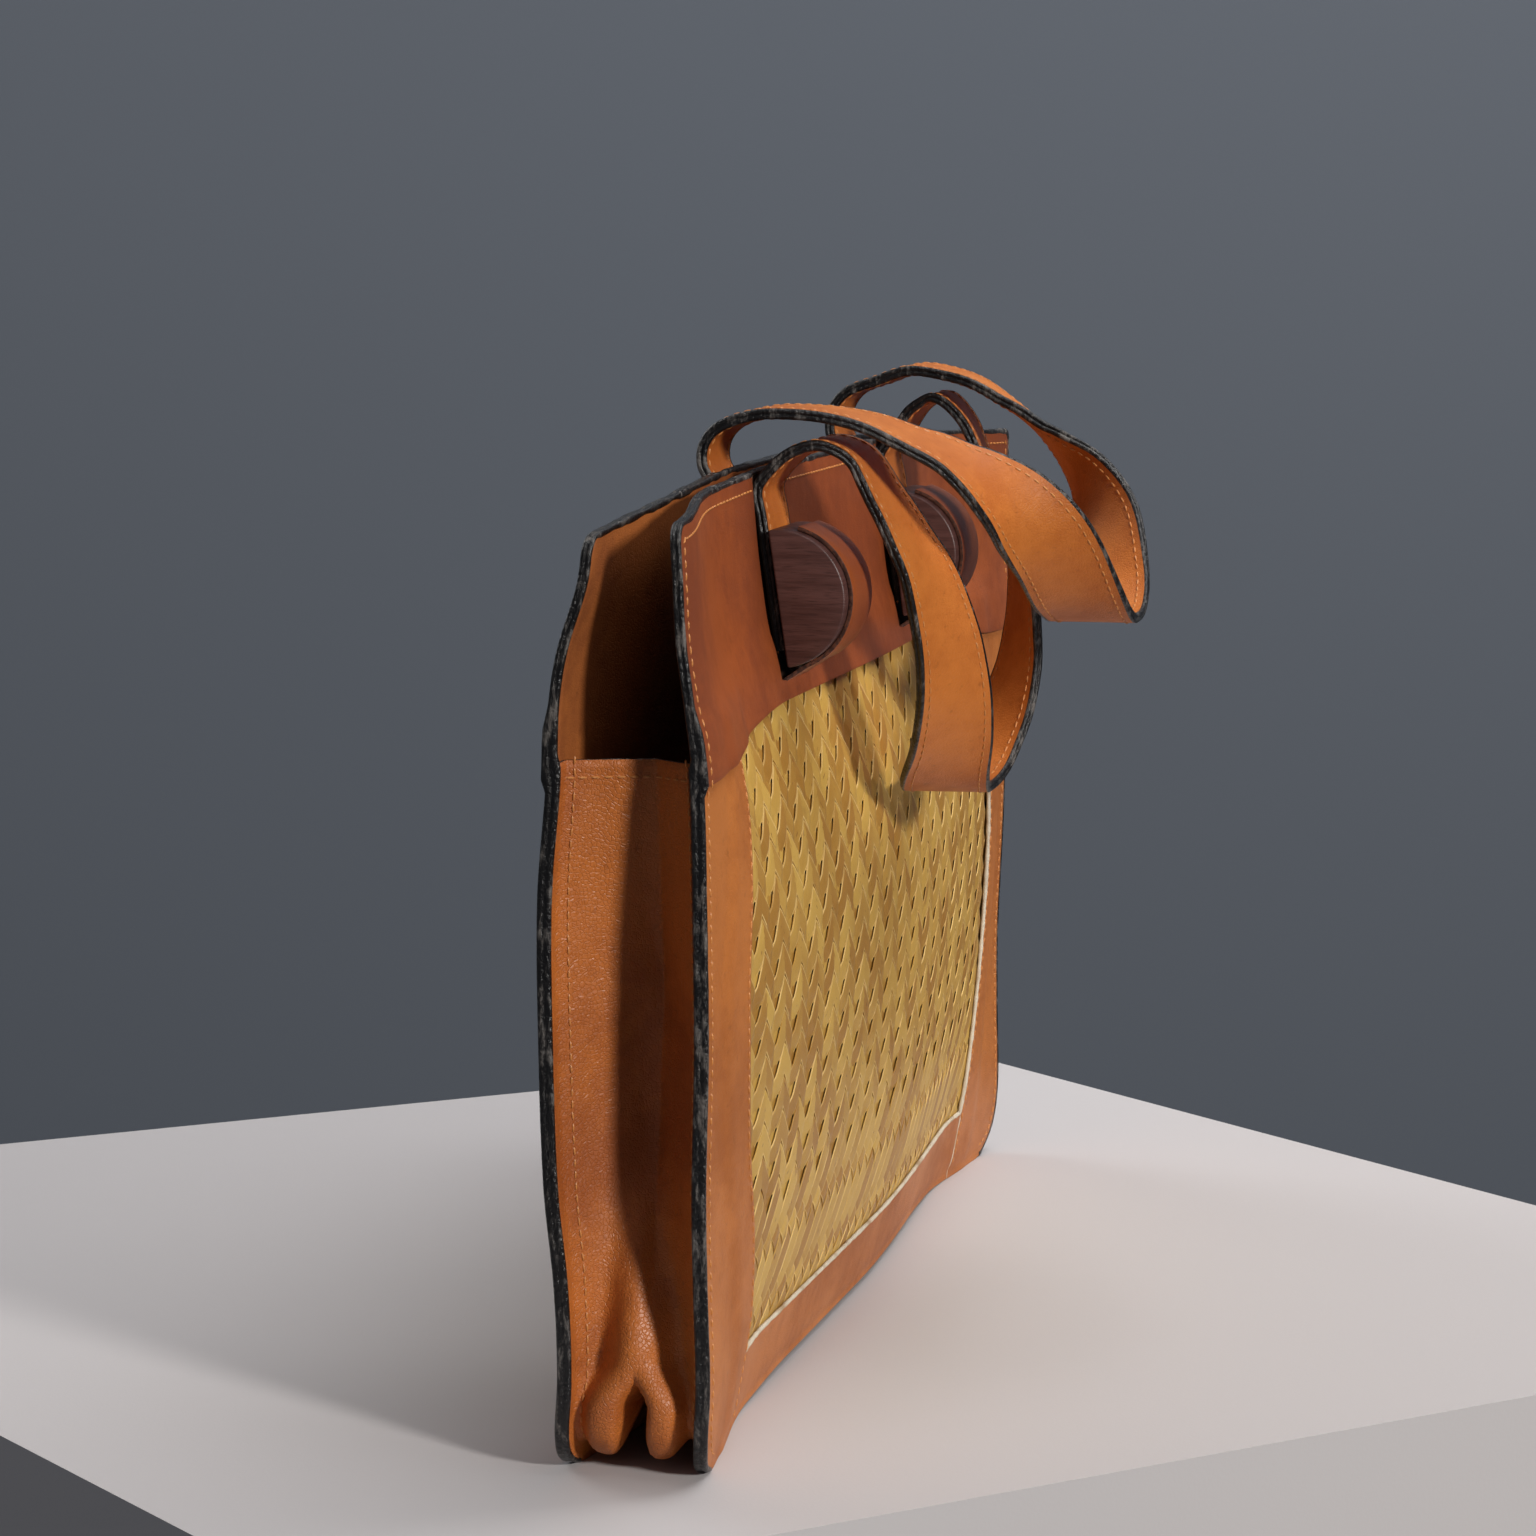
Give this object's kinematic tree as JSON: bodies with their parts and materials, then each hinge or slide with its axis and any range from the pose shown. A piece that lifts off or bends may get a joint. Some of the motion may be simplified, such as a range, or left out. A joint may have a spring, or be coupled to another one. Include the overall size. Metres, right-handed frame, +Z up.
{
  "type": "straw handbag",
  "caption": "Flat open handbag of tan leather with woven straw panels, a folded gusset, wooden half-rounds held in the yoke and flat handles fallen forwards.",
  "frame": {"origin": "centre of the bounding box on the surface that the bag stands on", "axes": "+X along the bag's width, +Y towards its back, +Z up; the handles have fallen to the front, -Y"},
  "size_m": [0.4, 0.1281, 0.267],
  "materials": {
    "strap_leather": "smooth tan leather with stitched, painted edges",
    "yoke_leather": "smooth red-brown leather with a soft sheen",
    "border_leather": "tan leather with a light grain",
    "gusset_leather": "soft grained tan leather",
    "lining_leather": "plain dull inner leather",
    "woven_straw": "flat golden straw strips woven on the bias",
    "wood": "dark fine-grained wood with a satin polish"
  },
  "bodies": {
    "root": {"gusset": "gusset_leather", "front_panel": "lining_leather", "front_straw": "woven_straw", "front_foot_strip": "border_leather", "front_strip_near": "border_leather", "front_strip_far": "border_leather", "front_yoke": "yoke_leather", "front_strap": "strap_leather", "front_wood_near": "wood", "front_wood_far": "wood", "back_panel": "lining_leather", "back_straw": "woven_straw", "back_foot_strip": "border_leather", "back_strip_near": "border_leather", "back_strip_far": "border_leather", "back_yoke": "yoke_leather", "back_strap": "strap_leather", "back_wood_near": "wood", "back_wood_far": "wood"}
  },
  "joints": []
}
